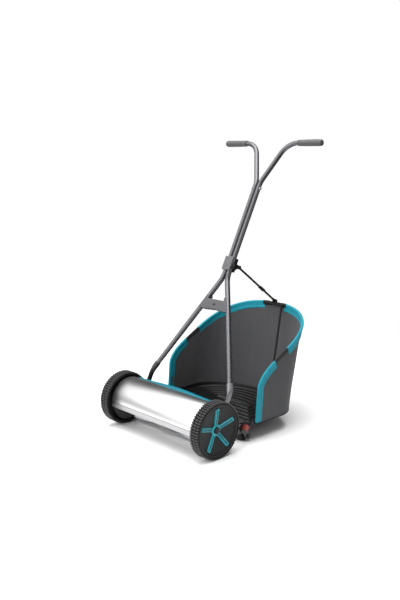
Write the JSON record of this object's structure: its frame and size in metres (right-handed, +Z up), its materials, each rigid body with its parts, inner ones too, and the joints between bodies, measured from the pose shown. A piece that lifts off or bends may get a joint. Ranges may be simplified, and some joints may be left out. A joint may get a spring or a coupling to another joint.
{
  "type": "reel mower",
  "caption": "Push reel mower with lugged tread wheels, tubular Y handle, polished reel guard and a hanging fabric grass catcher.",
  "frame": {"origin": "middle of the footprint box, on the ground under the tyres and the rear roller", "axes": "+Z up; -Y is the direction the mower is pushed; +X is the left side of the person pushing"},
  "size_m": [0.56, 0.725, 1.1151],
  "materials": {
    "black_enamel": "satin black powder coat",
    "guard_steel": "bright brushed sheet",
    "teal_plastic": "satin moulded",
    "bright_steel": "zinc plated",
    "reel_enamel": "satin",
    "gear_plastic": "moulded nylon",
    "wheel_plastic": "moulded",
    "tread_rubber": "matt",
    "black_plastic": "moulded",
    "red_plastic": "moulded",
    "foot_enamel": "semi-gloss",
    "tube_enamel": "metallic grey",
    "grey_plastic": "moulded",
    "dark_plastic": "moulded",
    "grip_rubber": "soft",
    "cord": "woven cord",
    "grey_fabric": "coated polyester weave",
    "teal_fabric": "woven edge binding",
    "rod_enamel": "black"
  },
  "bodies": {
    "deck": {"side_plate_left": "black_enamel", "side_plate_right": "black_enamel", "front_guard": "guard_steel", "tie_bar": "teal_plastic", "bed_bar": "black_enamel", "bed_knife": "bright_steel", "knife_screws": "bright_steel", "frame_bolts": "bright_steel", "stub_axles": "bright_steel", "axle_clips": "bright_steel", "reel_bearings": "bright_steel", "catcher_rail": "bright_steel", "handle_pivot_bolts": "bright_steel"},
    "reel": {"reel_shaft": "bright_steel", "reel_spiders": "reel_enamel", "reel_blades": "bright_steel", "drive_pawls": "bright_steel"},
    "pinion_left": {"drive_pinion_left": "gear_plastic"},
    "pinion_right": {"drive_pinion_right": "gear_plastic"},
    "wheel_assembly_left": {"wheel_left": "wheel_plastic", "tyre_left": "tread_rubber", "hub_star_left": "teal_plastic", "axle_cap_left": "black_plastic"},
    "wheel_assembly_right": {"wheel_right": "wheel_plastic", "tyre_right": "tread_rubber", "hub_star_right": "teal_plastic", "axle_cap_right": "black_plastic"},
    "roller_carrier": {"roller_bracket_left": "black_plastic", "roller_bracket_right": "black_plastic", "roller_shaft": "bright_steel", "height_screws": "bright_steel"},
    "roller": {"rear_roller": "black_plastic"},
    "knob_left": {"height_knob_left": "red_plastic"},
    "knob_right": {"height_knob_right": "red_plastic"},
    "handle": {"handle_foot_left": "foot_enamel", "handle_foot_right": "foot_enamel", "lower_tube_left": "tube_enamel", "lower_tube_right": "tube_enamel", "spreader_bracket": "grey_plastic", "spreader_screw": "bright_steel", "clamp_front": "grey_plastic", "clamp_rear": "dark_plastic", "clamp_bolt": "bright_steel", "upper_tube_left": "tube_enamel", "upper_tube_right": "tube_enamel", "cross_bolt": "bright_steel", "grip_left": "grip_rubber", "grip_right": "grip_rubber"},
    "clamp_screw_knob": {"clamp_knob": "black_plastic"},
    "sling": {"sling_cord": "cord", "sling_hook": "black_plastic"},
    "slider": {"sling_slider": "black_plastic"},
    "catcher": {"catcher_pan": "black_plastic", "catcher_fabric": "grey_fabric", "front_bindings": "teal_fabric", "rim_bindings": "teal_fabric", "frame_rod": "rod_enamel", "rim_clip": "black_enamel", "stay_cord": "cord"}
  },
  "joints": [
    {"name": "left_wheel_spin", "type": "hinge", "parent": "deck", "child": "wheel_assembly_left", "pos_m": [0.258, -0.2575, 0.105], "axis": [1, 0, 0], "continuous": true},
    {"name": "right_wheel_spin", "type": "hinge", "parent": "deck", "child": "wheel_assembly_right", "pos_m": [-0.258, -0.2575, 0.105], "axis": [1, 0, 0], "continuous": true},
    {"name": "reel_spin", "type": "hinge", "parent": "deck", "child": "reel", "pos_m": [0, -0.22707, 0.09685], "axis": [1, 0, 0], "continuous": true},
    {"name": "left_pinion_spin", "type": "hinge", "parent": "deck", "child": "pinion_left", "pos_m": [0.246, -0.22707, 0.09685], "axis": [1, 0, 0], "continuous": true},
    {"name": "right_pinion_spin", "type": "hinge", "parent": "deck", "child": "pinion_right", "pos_m": [-0.246, -0.22707, 0.09685], "axis": [1, 0, 0], "continuous": true},
    {"name": "roller_height", "type": "slide", "parent": "deck", "child": "roller_carrier", "axis": [0, 0, 1], "range_m": [-0.012, 0.012]},
    {"name": "rear_roller_spin", "type": "hinge", "parent": "roller_carrier", "child": "roller", "pos_m": [0, -0.0575, 0.022], "axis": [1, 0, 0], "continuous": true},
    {"name": "left_height_knob_turn", "type": "hinge", "parent": "roller_carrier", "child": "knob_left", "pos_m": [0.242, -0.0815, 0.063], "axis": [1, 0, 0], "range_deg": [-720, 0]},
    {"name": "right_height_knob_turn", "type": "hinge", "parent": "roller_carrier", "child": "knob_right", "pos_m": [-0.242, -0.0815, 0.063], "axis": [-1, 0, 0], "range_deg": [-720, 0]},
    {"name": "handle_tilt", "type": "hinge", "parent": "deck", "child": "handle", "pos_m": [0, -0.175, 0.1345], "axis": [1, 0, 0], "range_deg": [0, 22]},
    {"name": "clamp_knob_turn", "type": "hinge", "parent": "handle", "child": "clamp_screw_knob", "pos_m": [0.027, 0.07469, 0.62455], "axis": [1, 0, 0], "range_deg": [-720, 0]},
    {"name": "sling_swing", "type": "hinge", "parent": "handle", "child": "sling", "pos_m": [0, 0.12874, 0.61609], "axis": [1, 0, 0], "range_deg": [-20, 5]},
    {"name": "sling_adjust", "type": "slide", "parent": "sling", "child": "slider", "axis": [0, 0.8046, -0.5939], "range_m": [-0.1, 0.05]},
    {"name": "catcher_tilt", "type": "hinge", "parent": "deck", "child": "catcher", "pos_m": [0, -0.0975, 0.074], "axis": [1, 0, 0], "range_deg": [0, 27]}
  ],
  "couplings": [
    {"joint": "reel_spin", "follows": "left_wheel_spin", "ratio": 4},
    {"joint": "left_pinion_spin", "follows": "left_wheel_spin", "ratio": 4},
    {"joint": "right_pinion_spin", "follows": "right_wheel_spin", "ratio": 4},
    {"joint": "catcher_tilt", "follows": "handle_tilt", "ratio": 0.9797},
    {"joint": "sling_swing", "follows": "handle_tilt", "ratio": -0.3584}
  ]
}
